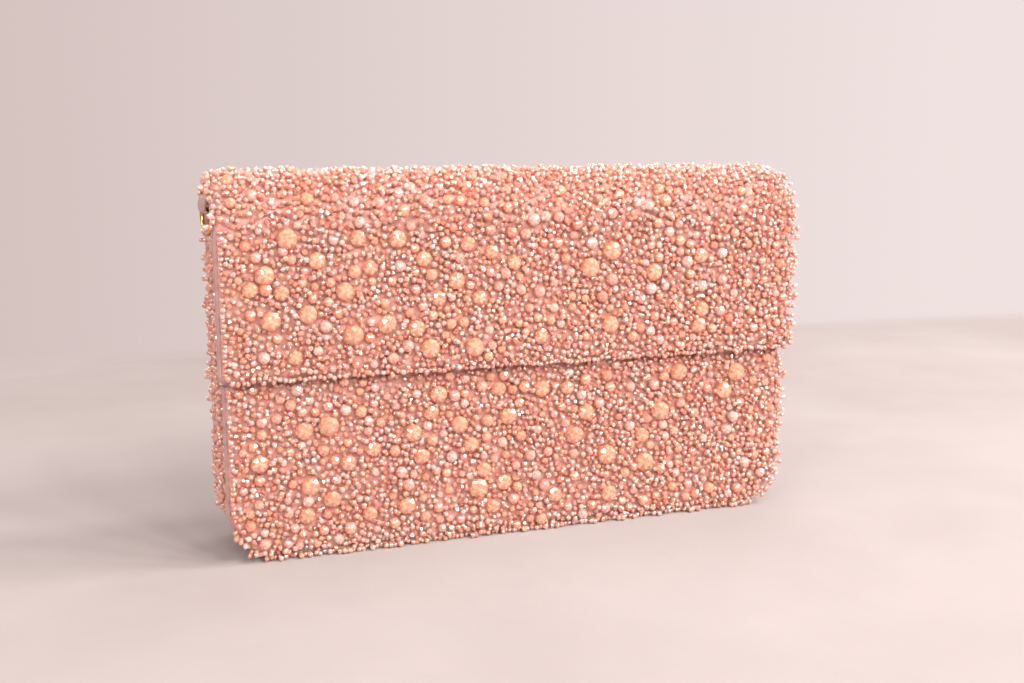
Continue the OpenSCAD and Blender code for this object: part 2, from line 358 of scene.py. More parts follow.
def grid_faces(rows, columns, loop=False):
    """Quads between the points of a grid, listed row by row. With loop, each row closes on itself."""
    i = np.arange(rows - 1)[:, None] * columns
    j = np.arange(columns if loop else columns - 1)[None, :]
    k = (j + 1) % columns
    return np.stack([i + j, i + k, i + columns + k, i + columns + j], -1).reshape(-1, 4)


def thicken(obj, thickness, offset=-1.0):
    """Gives a sheet its thickness, inwards from its outer face."""
    solid = obj.modifiers.new("thickness", "SOLIDIFY")
    solid.thickness = thickness
    solid.offset = offset
    return obj


def soften(obj, levels=1):
    obj.modifiers.new("softness", "SUBSURF").levels = levels
    obj.modifiers["softness"].render_levels = levels
    return obj


def ripple(a, b, seed, scale=1.0):
    """A smooth uneven pattern from -1 to 1, as a sum of a few waves in different directions."""
    waves = np.random.default_rng(seed)
    total = 0
    for _ in range(7):
        angle, phase = waves.uniform(0, 2 * math.pi, 2)
        length = waves.uniform(14, 46) * MM * scale
        total = total + np.sin((a * math.cos(angle) + b * math.sin(angle)) * 2 * math.pi / length + phase)
    return total / 4


# ---- satin and lining sheets ----


def shell_sheet(name, s_values, inset, h, material, columns=120, waviness=0.12 * MM, seed=1):
    """A sheet that follows the shell at the height h, between the distances given along the strip."""
    rows = np.asarray(s_values, float)
    across = np.linspace(-1, 1, columns)
    s, u = np.meshgrid(rows, across, indexing="ij")
    x = u * (shell_half(s) - inset)
    points, _ = on_shell(x, s, h + waviness * ripple(x, s, seed))
    return mesh_object(name, points.reshape(-1, 3), grid_faces(len(rows), columns), material)


def strip_rows(start, end, step=2.2 * MM):
    return np.linspace(start, end, max(3, round((end - start) / step) + 1))


def bent_at_front(obj):
    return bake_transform(obj)


def bent_at_rear(obj):
    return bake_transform(obj)


def on_body(obj):
    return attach(obj, "body")


EDGE_R = SHELL_T / 2
EDGE_CORNER_R = 3 * MM

flap_satin = shell_sheet("flap_satin", strip_rows(EDGE_R, S_MIDDLE), EDGE_R, 0, SATIN, seed=3)
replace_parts(thicken(flap_satin, SATIN_T), "flap_front_cover", "flap_top_cover")
bent_at_front(flap_satin)

corner_rows = S_END - CORNER_R * (1 - np.sin(np.linspace(0.08, 1.45, 14)))
back_rows = np.append(strip_rows(S_MIDDLE, S_END - CORNER_R), corner_rows)
back_satin = shell_sheet("back_satin", back_rows, EDGE_R, 0, SATIN, seed=4)
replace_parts(thicken(back_satin, SATIN_T), "back_cover", "flap_top_cover")
bent_at_rear(back_satin)

flap_rows = strip_rows(EDGE_R, S_MIDDLE)
flap_lining = shell_sheet("flap_lining", flap_rows, EDGE_R, LINING_T - SHELL_T, LINING, seed=5)
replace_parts(thicken(flap_lining, LINING_T), "flap_front_lining", "flap_top_lining")
bent_at_front(flap_lining)

rear_lining = shell_sheet(
    "rear_lining", strip_rows(S_MIDDLE, S_BACK), BODY_HALF - LINING_FACE, LINING_T - SHELL_T, LINING, seed=6
)
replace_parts(thicken(rear_lining, LINING_T), "back_fold_lining", "flap_top_lining")
bent_at_rear(rear_lining)


def fold_padding(name, start, end, bend, *nodes):
    """Felt between the cover and the lining of a fold, with rounded long edges."""
    rows = strip_rows(start, end)
    section = np.linspace(0, 2 * math.pi, 40, endpoint=False)
    s, a = np.meshgrid(rows, section, indexing="ij")
    half = shell_half(s) - EDGE_R - 0.4 * MM
    x = half * np.clip(1.02 * np.cos(a), -1, 1)
    middle, thick = -SATIN_T - BOARD_T / 2, BOARD_T / 2 - 0.08 * MM
    h = middle + thick * np.sign(np.sin(a)) * np.abs(np.sin(a)) ** 0.12
    points, _ = on_shell(x, s, h)
    points = points.reshape(-1, 3)
    count = len(section)
    faces = [*grid_faces(len(rows), count, loop=True).tolist()]
    faces += [list(range(count))[::-1], list(range(len(points) - count, len(points)))]
    pad = mesh_object(name, points, faces, FELT)
    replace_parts(pad, *nodes)
    return bend(pad)


fold_padding("front_fold_padding", S_FOLD, S_MIDDLE, bent_at_front, "flap_front_fold_pad", "flap_top_pad")
fold_padding("rear_fold_padding", S_MIDDLE, S_BACK, bent_at_rear, "back_fold_pad", "flap_top_pad")


# ---- front panel ----


def panel_half(z):
    return BODY_HALF - corner_loss(z)


def panel_rows(low, high):
    """Heights of a body panel's rows, closer together round its lower corners."""
    corner = CORNER_R * (1 - np.cos(np.linspace(0.35, math.pi / 2, 12)))
    return np.append(corner[corner >= low], strip_rows(CORNER_R + 2 * MM, high))


def panel_sheet(name, low, high, inset, depth, material, seed):
    """A flat sheet with the body's outline, at the depth given in front of the bag's middle plane."""
    rows, columns = panel_rows(low, high), 110
    z, u = np.meshgrid(rows, np.linspace(-1, 1, columns), indexing="ij")
    x = u * (panel_half(z) - inset)
    y = -depth - 0.1 * MM * ripple(x, z, seed)
    points = np.stack([x, y, z], -1).reshape(-1, 3)
    return mesh_object(name, points, grid_faces(len(rows), columns), material)


front_satin = panel_sheet("front_satin", EDGE_R, PANEL_TOP - EDGE_R, EDGE_R, PANEL_FRONT - 0.1 * MM, SATIN, 8)
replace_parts(thicken(front_satin, SATIN_T), "front_cover")
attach(front_satin, "body")


# ---- rounded satin edges ----


def edging(name, path, outward, place, radius, material, pucker=0.1 * MM):
    """Satin turned over the edge of a shell or panel. path holds (x, s) along the edge's middle line, outward
    the direction away from the panel there, and place gives the point for (x, s, h)."""
    path, outward = np.asarray(path), np.asarray(outward)
    turns = np.linspace(0, math.pi, 10)
    along = np.arange(len(path)) * 2.1
    swell = radius + pucker * np.sin(along * 1.7) * np.sin(along * 0.31)
    out = swell[:, None] * np.sin(turns)[None] * 0.96
    x = path[:, 0, None] + outward[:, 0, None] * out
    s = path[:, 1, None] + outward[:, 1, None] * out
    h = -radius + radius * np.cos(turns)[None] + 0 * x
    points, _ = place(x, s, h)
    faces = grid_faces(len(path), len(turns))
    way = path[1] - path[0]
    # Faces look outwards whichever way the path runs
    if way[0] * outward[0, 1] > way[1] * outward[0, 0]:
        faces = faces[:, ::-1]
    return thicken(mesh_object(name, points.reshape(-1, 3), faces, material), SATIN_T * 0.8)


def strip_edge(s_from, s_corner, radius, half_at):
    """The edge of a strip's end: down its left side from s_from, round the end at s_corner and back up."""
    step = 1.4 * MM if s_corner > s_from else -1.4 * MM
    ahead = 1 if s_corner > s_from else -1
    s_side = np.arange(s_from, s_corner - ahead * radius, step)
    left = np.stack([-(half_at(s_side) - EDGE_R), s_side], -1)
    corner = np.linspace(0, math.pi / 2, 12)[1:]
    half = half_at(s_corner - ahead * radius) - EDGE_R
    inner = radius - EDGE_R
    turn_s = s_corner - ahead * radius + ahead * inner * np.sin(corner)
    turn_x = -(half - inner) - inner * np.cos(corner)
    end_x = np.linspace(-(half - inner), half - inner, 160)[1:-1]
    end_s = np.full_like(end_x, s_corner - ahead * EDGE_R)
    half_path = np.concatenate([left, np.stack([turn_x, turn_s], -1)])
    path = np.concatenate([half_path, np.stack([end_x, end_s], -1), half_path[::-1] * [-1, 1]])
    way = np.gradient(path, axis=0)
    way /= np.linalg.norm(way, axis=1)[:, None]
    return path, np.stack([way[:, 1], -way[:, 0]], -1) * -ahead


flap_path = strip_edge(S_MIDDLE, 0, EDGE_CORNER_R, straight_half)
flap_edging = edging("flap_edging", *flap_path, on_shell, EDGE_R, SHADED_EDGE_SATIN)
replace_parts(flap_edging, "flap_front_edge", "flap_top_edges")
bent_at_front(flap_edging)


back_path = strip_edge(S_MIDDLE, S_END, CORNER_R, straight_half)
back_edging = edging("back_edging", *back_path, on_shell, EDGE_R, SHADED_EDGE_SATIN)
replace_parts(back_edging, "back_edge", "flap_top_edges")
bent_at_rear(back_edging)

PANEL_R = (PANEL_FRONT - PANEL_BACK) / 2
front_path = strip_edge(PANEL_TOP, 0, CORNER_R, lambda s: BODY_HALF + 0 * np.asarray(s, float))
front_edging = edging("front_edging", *front_path, on_panel, PANEL_R, SHADED_EDGE_SATIN)
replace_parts(front_edging, "front_edge")
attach(front_edging, "body")

mouth_x = np.linspace(-BODY_HALF + PANEL_R, BODY_HALF - PANEL_R, 150)
mouth_path = np.stack([mouth_x, np.full_like(mouth_x, PANEL_TOP - PANEL_R)], -1)
mouth_edging = edging(
    "mouth_edging", mouth_path, np.tile([0.0, 1.0], (len(mouth_x), 1)), on_panel, PANEL_R, SHADED_EDGE_SATIN
)
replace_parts(mouth_edging, "mouth_binding")
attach(mouth_edging, "body")


# ---- side strip ----


def arch_top(y, radius):
    """Height of the side panels' arched top at the depth y."""
    beyond = np.clip(np.abs(y) - FLAT_HALF, 0, radius * 0.999)
    return FOLD_Z + np.sqrt(radius**2 - beyond**2)


def around_sheet(name, inset, y_low, y_high, arch, material, waviness, seed, columns=26):
    """A sheet down the left side, under the base and up the right, with arched tops."""
    r = CORNER_R - inset
    side = np.linspace(0, 1, 46)
    turn = np.linspace(0, 1, 10)[1:]
    base = np.linspace(0, 1, 90)[1:]
    y, k = np.meshgrid(np.linspace(y_low, y_high, columns), np.arange(len(side)), indexing="xy")
    top = arch_top(y, arch)
    runs = []
    drop = side[k] * (top - CORNER_R)
    t_top = top - CORNER_R
    runs.append(drop - t_top)
    length = r * math.pi / 2
    runs.append((turn[:, None] * length) + 0 * y[:1])
    runs.append(length + base[:, None] * 2 * (BODY_HALF - CORNER_R) + 0 * y[:1])
    runs.append(length + 2 * (BODY_HALF - CORNER_R) + turn[:, None] * length + 0 * y[:1])
    after = 2 * length + 2 * (BODY_HALF - CORNER_R)
    runs.append(after + (side[k] * t_top)[1:])
    t = np.concatenate(runs)
    y = np.broadcast_to(y[:1], t.shape)
    points, _ = around(t, y, waviness * ripple(t, y, seed), inset, top=CORNER_R)
    return mesh_object(name, points.reshape(-1, 3), grid_faces(len(t), columns), material)


side_satin = around_sheet("side_satin", SIDE_INSET, *SIDE_Y, SIDE_ARCH_R, SATIN, 0.08 * MM, 9)
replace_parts(thicken(side_satin, SATIN_T), "side_cover")
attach(side_satin, "body")


# ---- inner lining and pocket ----

INSIDE_Y = (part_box("lining")[0].y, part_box("lining")[1].y)
LINING_INSET = BODY_HALF - LINING_FACE
LINING_R = CORNER_R - LINING_INSET - BOARD_T


def lining_half(z):
    drop = np.clip(LINING_FLOOR + LINING_R - z, 0, LINING_R)
    return LINING_FACE - LINING_R + np.sqrt(LINING_R**2 - drop**2)


def lining_wall(name, depth, sign, top, seed):
    """The front or back of the lining, which billows a little off its board."""
    low = LINING_FLOOR + LINING_R * (1 - np.cos(np.linspace(0.2, math.pi / 2, 10)))
    rows = np.append(low, np.linspace(LINING_FLOOR + LINING_R + 1.5 * MM, top, 50))
    columns = 100
    z, u = np.meshgrid(rows, np.linspace(-1, 1, columns), indexing="ij")
    x = u * lining_half(z)
    loose = (1 - u**4) * smooth((top - z) / (15 * MM)) * smooth((z - LINING_FLOOR) / (20 * MM))
    y = depth - sign * 0.35 * MM * loose * (1.2 + ripple(x, z, seed, 1.4))
    wall = mesh_object(name, np.stack([x, y, z], -1).reshape(-1, 3), grid_faces(len(rows), columns), LINING)
    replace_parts(thicken(wall, LINING_T * 0.8, sign), "lining")
    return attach(wall, "body")


lining_wall("front_lining", INSIDE_Y[0] + 0.2 * MM, -1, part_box("front_board")[1].z, 11)
lining_wall("back_lining", INSIDE_Y[1] - 0.2 * MM, 1, FOLD_Z, 12)


def gusset_lining():
    """The lining of the sides and the base, in one strip."""
    r, columns = LINING_R, 22
    base = 2 * (LINING_FACE - r)
    arc = r * math.pi / 2
    centre_z = LINING_FLOOR + r
    y_line = np.linspace(INSIDE_Y[0] + 0.4 * MM, INSIDE_Y[1] - 0.4 * MM, columns)
    top = arch_top(y_line, SIDE_ARCH_R) - centre_z
    rows = [-(1 - k) * top for k in np.linspace(0, 1, 40)]
    rows += [k * arc + 0 * top for k in np.linspace(0, 1, 9)[1:]]
    rows += [arc + k * base + 0 * top for k in np.linspace(0, 1, 80)[1:]]
    rows += [arc + base + k * arc + 0 * top for k in np.linspace(0, 1, 9)[1:]]
    rows += [2 * arc + base + k * top for k in np.linspace(0, 1, 40)[1:]]
    t = np.array(rows)
    y = np.broadcast_to(y_line, t.shape)
    turn = np.clip(t / r, 0, math.pi / 2) + np.clip((t - arc - base) / r, 0, math.pi / 2)
    reach = r - 0.15 * MM * (1 + ripple(t, y, 13))
    x = -(LINING_FACE - r) + np.clip(t - arc, 0, base) - reach * np.cos(turn)
    z = centre_z + np.clip(-t, 0, None) + np.clip(t - 2 * arc - base, 0, None) - reach * np.sin(turn)
    points = np.stack([x, y, z], -1).reshape(-1, 3)
    strip = mesh_object("gusset_lining", points, grid_faces(len(t), columns), LINING)
    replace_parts(thicken(strip, LINING_T * 0.8, -1), "lining")
    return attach(strip, "body")


gusset_lining()

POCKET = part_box("slip_pocket")


def slip_pocket():
    """A flat pocket that bellies a little at its mouth, with a turned hem."""
    low, high = POCKET
    columns, rows = 60, 36
    v, u = np.meshgrid(np.linspace(0, 1, rows), np.linspace(-1, 1, columns), indexing="ij")
    x = u * (high.x - 0.3 * MM)
    z = low.z + v * (high.z - low.z)
    belly = (1 - u**2) * smooth(v * 1.6)
    hem = 0.12 * MM * smooth((v - 0.9) / 0.03)
    y = high.y - 0.25 * MM - (high.y - low.y - 0.5 * MM) * belly - hem
    pocket = mesh_object("pocket", np.stack([x, y, z], -1).reshape(-1, 3), grid_faces(rows, columns), LINING)
    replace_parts(thicken(pocket, 0.3 * MM, 0), "slip_pocket")
    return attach(pocket, "body")


slip_pocket()


def stitches(name, starts, ends, outward, body, radius=0.17 * MM, bend=None):
    """Short lengths of thread, each a small rounded arch from one needle hole to the next."""
    starts, ends, outward = (np.asarray(a, float) for a in (starts, ends, outward))
    steps, sides = 6, 6
    k = np.linspace(0, 1, steps)
    rise = np.sin(k * math.pi) * radius * 1.3
    way = ends - starts
    length = np.linalg.norm(way, axis=1, keepdims=True)
    across = np.cross(way / length, outward)
    middle = starts[:, None] + way[:, None] * k[None, :, None] + outward[:, None] * rise[None, :, None]
    a = np.linspace(0, 2 * math.pi, sides, endpoint=False)
    ring = across[:, None] * np.cos(a)[None, :, None] + outward[:, None] * np.sin(a)[None, :, None]
    thin = radius * (0.45 + 0.55 * np.sin(k * math.pi))
    points = middle[:, :, None] + ring[:, None] * thin[None, :, None, None]
    one = grid_faces(steps, sides, loop=True).tolist()
    one += [list(range(sides))[::-1], list(range(sides * (steps - 1), sides * steps))]
    faces = [[i + n * steps * sides for i in f] for n in range(len(starts)) for f in one]
    obj = mesh_object(name, points.reshape(-1, 3), faces, THREAD)
    return bend(obj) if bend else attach(obj, body)


def stitch_line(place, start, end, pitch=2.6 * MM, share=0.7):
    """Starts, ends and normals of a straight row of stitches between two (a, b) places."""
    start, end = np.array(start, float), np.array(end, float)
    count = max(1, int(np.linalg.norm(end - start) / pitch))
    k = (np.arange(count) + 0.15) / count
    first = start + (end - start) * k[:, None]
    last = start + (end - start) * (k + share / count)[:, None]
    a, normals = place(first[:, 0], first[:, 1])
    b, _ = place(last[:, 0], last[:, 1])
    return a, b, normals


def rows_of_stitches(place, corners):
    parts = [stitch_line(place, a, b) for a, b in zip(corners[:-1], corners[1:])]
    return [np.concatenate(column) for column in zip(*parts)]


def on_pocket(x, z):
    """The pocket's face close to its seam."""
    x, z = np.asarray(x, float), np.asarray(z, float)
    return (
        np.stack([x, np.full_like(x, POCKET[1].y - 0.5 * MM), z], -1),
        np.stack([0 * x, 0 * x - 1, 0 * x], -1),
    )


seam = 1.4 * MM
pocket_seam = [
    (POCKET[0].x + seam, POCKET[1].z - seam),
    (POCKET[0].x + seam, POCKET[0].z + seam),
    (POCKET[1].x - seam, POCKET[0].z + seam),
    (POCKET[1].x - seam, POCKET[1].z - seam),
]
stitches("pocket_stitches", *rows_of_stitches(on_pocket, pocket_seam), "body")


def inside_flap(x, s):
    points, normals = on_shell(x, s, -SHELL_T - 0.05 * MM)
    return points, -normals


hem_x, hem_s = FLAP_HALF - 4.5 * MM, 4.5 * MM
flap_hem = [(-hem_x, S_FOLD), (-hem_x, hem_s), (hem_x, hem_s), (hem_x, S_FOLD)]
stitches("flap_hem_stitches", *rows_of_stitches(inside_flap, flap_hem), None, bend=bent_at_front)


# ---- strap tabs ----

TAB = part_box("ring_tab_left")
RING_JOINT = next(j for j in frame["joints"] if j["name"] == "ring_left_swing")
BAR = Vector(RING_JOINT["pos_m"])
BAR_WAY = Vector(RING_JOINT["axis"])
TAB_HALF = 4.6 * MM
TAB_WRAP_R = 1.75 * MM


def strap_tab(name, side, node):
    """A satin ribbon that comes out of the side, wraps round the ring's bar and goes back in. It is drawn in
    the plane across the bar, as distances out from the bar and up."""
    inside = BAR.x - TAB[1].x
    wrap = TAB_WRAP_R
    route = [(inside - 0.4 * MM, 4.9 * MM), (-1.0 * MM, 4.9 * MM), (0.9 * MM, 4.3 * MM), (wrap, 2.5 * MM)]
    route += [(wrap * math.cos(a), wrap * math.sin(a)) for a in np.radians(np.linspace(0, -165, 9))]
    route += [(-2.3 * MM, 1.4 * MM), (inside - 0.4 * MM, 2.6 * MM)]
    route = np.array(route)
    across_way = np.array([BAR_WAY.x, BAR_WAY.y, 0.0])
    out_way = np.array([-BAR_WAY.y, BAR_WAY.x, 0.0])
    widths = np.linspace(-1, 1, 13)
    points = []
    for k, (out, up) in enumerate(route):
        waist = 1 - 0.08 * math.sin(math.pi * k / (len(route) - 1))
        for w in widths:
            crown = 0.25 * MM * (1 - w * w) * math.sin(math.pi * k / (len(route) - 1))
            place = np.array(BAR) + out_way * (out + crown) + across_way * (w * TAB_HALF * waist)
            points.append(place + np.array([0, 0, up]))
    points = np.array(points) * [side, 1, 1]
    faces = grid_faces(len(route), len(widths))
    if side > 0:
        faces = faces[:, ::-1]
    tab = mesh_object(name, points, faces, SHADED_EDGE_SATIN)
    thicken(tab, 0.9 * MM, 0)
    soften(tab, 2)
    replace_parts(tab, node)
    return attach(tab, "body")


for tab_side, tab_name in ((1, "left"), (-1, "right")):
    strap_tab(f"strap_tab_{tab_name}", tab_side, f"ring_tab_{tab_name}")


# ---- bead shapes, one unit in radius, with their hole along Z ----


def turned(profile, sides, staggered=False):
    """Points and faces of a profile of (radius, height) turned round Z. Staggered rings give triangles."""
    points, faces = [], []
    for k, (radius, height) in enumerate(profile):
        shift = 0.5 * (k % 2) if staggered else 0
        angles = (np.arange(sides) + shift) * 2 * math.pi / sides
        points += [(radius * math.cos(a), radius * math.sin(a), height) for a in angles]
    rings = len(profile)
    for k in range(rings - 1):
        a, b = k * sides, (k + 1) * sides
        for i in range(sides):
            j = (i + 1) % sides
            if not staggered:
                faces.append((a + i, a + j, b + j, b + i))
            elif k % 2 == 0:
                faces += [(a + i, a + j, b + i), (a + j, b + j, b + i)]
            else:
                faces += [(a + i, a + j, b + j), (a + i, b + j, b + i)]
    faces += [tuple(range(sides))[::-1], tuple(range((rings - 1) * sides, rings * sides))]
    return points, faces


def shape(*parts):
    """Joins parts, each ((points, faces), slots, smooth), into one bead. The slots repeat from face to face,
    and None takes the bead's own tint."""
    points, faces, slots, soft = [], [], [], []
    for (p, f), facets, is_smooth in parts:
        faces += [tuple(i + len(points) for i in face) for face in f]
        points += p
        slots += [-1 if facets is None else facets[k % len(facets)] for k in range(len(f))]
        soft += [is_smooth] * len(f)
    return np.array(points), faces, np.array(slots), np.array(soft)


BARREL = [(0.34, -0.76), (0.86, -0.48), (1.0, 0.0), (0.86, 0.48), (0.34, 0.76)]
BARREL_CORE = [(0.42, -0.64), (0.82, -0.2), (0.82, 0.2), (0.42, 0.64)]
CUT = [(0.4, -0.8), (0.98, -0.34), (0.98, 0.34), (0.4, 0.8)]
CUT_CORE = [(0.36, -0.62), (0.76, -0.2), (0.76, 0.2), (0.36, 0.62)]
FACETS = [(0.3, -0.9), (0.8, -0.55), (1.0, 0.0), (0.8, 0.55), (0.3, 0.9)]
FACETS_CORE = [(0.3, -0.76), (0.74, -0.36), (0.86, 0.04), (0.66, 0.44), (0.2, 0.66)]
ROUND = [(math.cos(a), math.sin(a)) for a in np.radians([-72, -42, -14, 14, 42, 72])]
CROWN = [(1.0, 0.0), (0.94, 0.24), (0.68, 0.5), (0.3, 0.62)]
CRYSTAL_CORE = [(0.3, -0.4), (0.86, 0.02), (0.78, 0.2), (0.46, 0.38), (0.12, 0.46)]
SHAPES = {
    "seed": shape((turned(BARREL, 8), None, True), (turned(BARREL_CORE, 6), [LINING_SLOT], True)),
    "cut": shape((turned(CUT, 6, True), None, False), (turned(CUT_CORE, 6), LINING_FACETS, False)),
    "faceted": shape(
        (turned(FACETS, 9, True), None, False), (turned(FACETS_CORE, 7, True), LINING_FACETS, False)
    ),
    "round": shape((turned(ROUND, 12), None, True), (turned(FACETS_CORE, 8, True), LINING_FACETS, False)),
    "crystal": shape(
        (turned(CROWN, 9, True), [CRYSTAL_SLOT], False), (turned(CRYSTAL_CORE, 8, True), FOIL_FACETS, False)
    ),
}
TINT_SHARES = {
    "seed": (0.32, 0.26, 0.18, 0.2, 0.04),
    "cut": (0.3, 0.2, 0.24, 0.26, 0.0),
    "faceted": (0.24, 0.18, 0.38, 0.2, 0.0),
    "round": (0.26, 0.18, 0.36, 0.2, 0.0),
    "crystal": (1, 0, 0, 0, 0),
}


# ---- carpets of beads ----


class Carpet:
    """Beads on one area, laid out flat in (u, v). Each rests on the fabric or on the beads under it."""

    CELL = 4.5 * MM

    def __init__(self, seed):
        self.cells, self.beads = {}, []
        self.rng = np.random.default_rng(seed)

    def near(self, u, v):
        i, j = int(u // self.CELL), int(v // self.CELL)
        for a in (i - 1, i, i + 1):
            for b in (j - 1, j, j + 1):
                yield from self.cells.get((a, b), ())

    def gap(self, u, v, r, squeeze=1.0):
        """True if a bead fits on the fabric without touching its neighbours."""
        return all((u - x) ** 2 + (v - y) ** 2 >= (squeeze * (r + q)) ** 2 for x, y, _, q in self.near(u, v))

    def rest(self, u, v, r):
        """The height of the centre of a bead that rests on what is under it."""
        h = r * 0.95
        for x, y, z, q in self.near(u, v):
            room = (r + q) ** 2 - (u - x) ** 2 - (v - y) ** 2
            if room > 0:
                h = max(h, z + math.sqrt(room))
        return h

    def put(self, u, v, h, r, kind, upright=False):
        key = (int(u // self.CELL), int(v // self.CELL))
        self.cells.setdefault(key, []).append((u, v, h, r))
        self.beads.append((u, v, h, r, kind, upright))

    def scatter(self, count, box, allowed, radii, kinds, squeeze=1.0, bias=None, height=None):
        """Throws count beads on the fabric and keeps those with room."""
        (u0, u1), (v0, v1) = box
        for u, v, pick, lean in self.rng.uniform(size=(count, 4)):
            u, v = u0 + (u1 - u0) * u, v0 + (v1 - v0) * v
            r = radii[0] + (radii[1] - radii[0]) * pick**1.4
            if bias is not None and bias(u, v) < lean:
                continue
            if allowed(u, v, r) and self.gap(u, v, r, squeeze):
                kind = kinds[int(self.rng.integers(len(kinds)))]
                self.put(u, v, r * 0.95 if height is None else height * r, r, kind)

    def fill(self, box, allowed, ceiling, bare):
        """Fills what is left with seed beads in uneven rows. A seed with no room on the fabric climbs on its
        neighbours, up to the ceiling."""
        (u0, u1), (v0, v1) = box
        rows = np.concatenate([np.arange(v0 + PITCH * k / 3, v1, PITCH * 0.87) for k in range(FILLS)])
        for j, v_row in enumerate(rows):
            for u_row in np.arange(u0 + PITCH * 0.5 * (j % 2), u1, PITCH):
                u, v = np.array([u_row, v_row]) + self.rng.normal(0, PITCH * 0.2, 2)
                r = self.rng.uniform(*SEED_R)
                kind = "cut" if self.rng.random() < CUT_SHARE else "seed"
                if not allowed(u, v, r) or bare(u, v):
                    continue
                if self.gap(u, v, r, 0.84):
                    self.put(u, v, r * 0.95, r, kind)
                elif self.rng.random() < CLIMB_SHARE:
                    h = self.rest(u, v, r * 0.92)
                    if h + r < ceiling(u, v):
                        self.put(u, v, h, r, kind)

    def top_up(self, count, box, allowed, floor, ceiling):
        """Stopper seeds, which stand proud on the beads under them."""
        (u0, u1), (v0, v1) = box
        for u, v in self.rng.uniform(size=(count, 2)):
            u, v = u0 + (u1 - u0) * u, v0 + (v1 - v0) * v
            r = self.rng.uniform(*SEED_R)
            h = self.rest(u, v, r * 0.92) if allowed(u, v, r) else 0
            if floor < h + r < ceiling(u, v):
                self.put(u, v, h, r, "seed", upright=True)

    def border(self, path, outward, edge_r, habit):
        """A row of seeds along the turned edge. habit(x, s) gives how far the row stands back from the edge's
        middle line, the least and most that a bead leans out, in degrees, and the share with a second one."""
        lengths = np.append(0, np.cumsum(np.linalg.norm(np.diff(path, axis=0), axis=1)))
        for d in np.arange(0, lengths[-1], PITCH):
            d += self.rng.normal(0, PITCH * 0.12)
            x, s = (np.interp(d, lengths, path[:, k]) for k in (0, 1))
            ox, os_ = (np.interp(d, lengths, outward[:, k]) for k in (0, 1))
            setback, least, most, proud = habit(x, s)
            lean = math.radians(self.rng.uniform(least, most))
            r = self.rng.uniform(*SEED_R)
            for tier in range(2 if self.rng.random() < proud else 1):
                reach = edge_r + r * (1 + 1.8 * tier)
                out = reach * math.sin(lean) - setback
                h = reach * math.cos(lean) - edge_r
                self.put(x + ox * out, s + os_ * out, h, r, "seed", upright=tier > 0)


def bead_mesh(name, beads, place, reference, seed):
    """One mesh of many beads. Seeds and cut beads lie on their side, stoppers and the rest face outwards."""
    turns = np.random.default_rng(seed)
    vertices, loops, sizes, slots, soft = [], [], [], [], []
    start = 0
    for kind, (template, faces, face_slots, face_soft) in SHAPES.items():
        chosen = [b for b in beads if b[4] == kind]
        if not chosen:
            continue
        u, v, h, r = (np.array([b[k] for b in chosen]) for k in range(4))
        upright = np.array([b[5] for b in chosen]) | (kind not in ("seed", "cut"))
        centres, normals = place(u, v, h)
        centres[:, 2] = np.maximum(centres[:, 2], r)
        normals = normals / np.linalg.norm(normals, axis=1, keepdims=True)
        first = np.cross(normals, reference)
        first /= np.linalg.norm(first, axis=1, keepdims=True)
        second = np.cross(normals, first)
        heading = turns.uniform(0, 2 * math.pi, len(u))[:, None]
        flat = first * np.cos(heading) + second * np.sin(heading)
        tilt = np.where(upright, turns.uniform(0, 0.3, len(u)), turns.uniform(0.9, 1.57, len(u)))[:, None]
        axis = normals * np.cos(tilt) + flat * np.sin(tilt)
        side = np.cross(axis, first + 0.31 * second)
        side /= np.linalg.norm(side, axis=1, keepdims=True)
        frames = np.stack([side, np.cross(axis, side), axis], -1)
        bodies = np.einsum("nij,kj->nki", frames, template) * r[:, None, None] + centres[:, None]
        vertices.append(bodies.reshape(-1, 3))
        order = np.concatenate([np.array(f) for f in faces])
        loops.append((order[None] + (start + np.arange(len(u)) * len(template))[:, None]).ravel())
        sizes.append(np.tile([len(f) for f in faces], len(u)))
        tints = turns.choice(len(TINTS), len(u), p=TINT_SHARES[kind])
        slots.append(np.where(face_slots[None] < 0, tints[:, None], face_slots[None]).ravel())
        soft.append(np.tile(face_soft, len(u)))
        start += len(u) * len(template)
    vertices, loops, sizes, slots, soft = (np.concatenate(a) for a in (vertices, loops, sizes, slots, soft))
    mesh = bpy.data.meshes.new(name)
    mesh.vertices.add(len(vertices))
    mesh.vertices.foreach_set("co", vertices.astype(np.float32).ravel())
    mesh.loops.add(len(loops))
    mesh.loops.foreach_set("vertex_index", loops.astype(np.int32))
    mesh.polygons.add(len(sizes))
    mesh.polygons.foreach_set("loop_start", np.append(0, np.cumsum(sizes)[:-1]).astype(np.int32))
    mesh.polygons.foreach_set("material_index", slots.astype(np.int32))
    mesh.polygons.foreach_set("use_smooth", soft)
    for m in BEAD_MATERIALS:
        mesh.materials.append(m)
    mesh.update(calc_edges=True)
    mesh.validate()
    obj = bpy.data.objects.new(name, mesh)
    bpy.context.scene.collection.objects.link(obj)
    return obj


MOST_TRIANGLES = 190_000
TRIANGLES = {k: sum(len(f) - 2 for f in s[1]) for k, s in SHAPES.items()}


def bead_pieces(name, beads, place, reference, seed, fix, nodes):
    """The beads of one area as pieces of up to MOST_TRIANGLES, cut into bands along v."""
    beads = sorted(beads, key=lambda b: b[1])
    total = sum(TRIANGLES[b[4]] for b in beads)
    count = math.ceil(total / MOST_TRIANGLES)
    share = total / count
    bands, used = [[]], 0
    for b in beads:
        if used + TRIANGLES[b[4]] > share * len(bands) and len(bands) < count:
            bands.append([])
        bands[-1].append(b)
        used += TRIANGLES[b[4]]
    for k, band in enumerate(bands):
        piece = bead_mesh(f"{name}_{k + 1}", band, place, reference, seed + k)
        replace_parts(piece, *nodes)
        fix(piece)


